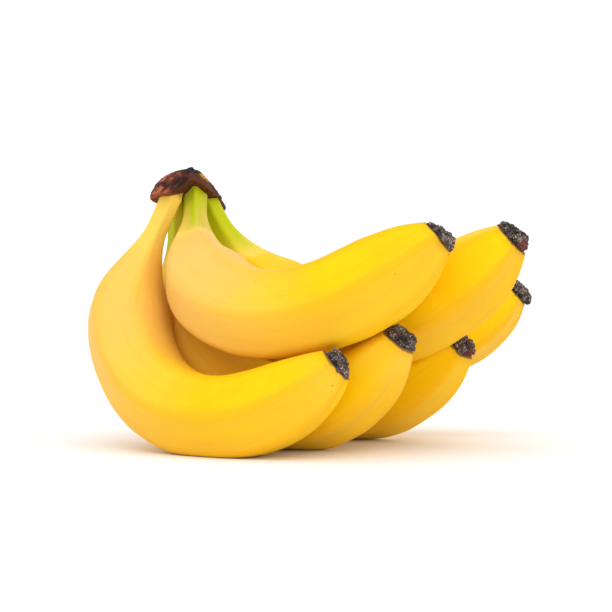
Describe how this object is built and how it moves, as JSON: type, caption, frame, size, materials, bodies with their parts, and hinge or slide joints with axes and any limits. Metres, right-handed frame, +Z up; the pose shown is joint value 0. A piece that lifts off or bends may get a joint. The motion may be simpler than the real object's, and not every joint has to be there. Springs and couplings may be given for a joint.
{
  "type": "bunch of bananas",
  "caption": "Bunch of ripe yellow bananas in two rows on one cut brown crown, with dried dark blossom ends, lying on the backs of its lower row.",
  "frame": {"origin": "on the table, under the middle of the bunch's bounding box", "axes": "+Z up from the table, +X from the crown towards the blossom ends, the first fruit of each row at -Y"},
  "size_m": [0.1896, 0.145, 0.1174],
  "materials": {
    "peel": "smooth waxy ripe peel, green near the crown",
    "crown_bark": "dry wrinkled skin",
    "dried_blossom": "dry and crusty"
  },
  "bodies": {
    "root": {"crown": "crown_bark", "banana_lower_1": "peel", "banana_lower_2": "peel", "banana_lower_3": "peel", "banana_upper_1": "peel", "banana_upper_2": "peel", "banana_upper_3": "peel", "blossom_end_lower_1": "dried_blossom", "blossom_end_lower_2": "dried_blossom", "blossom_end_lower_3": "dried_blossom", "blossom_end_upper_1": "dried_blossom", "blossom_end_upper_2": "dried_blossom", "blossom_end_upper_3": "dried_blossom"}
  },
  "joints": []
}
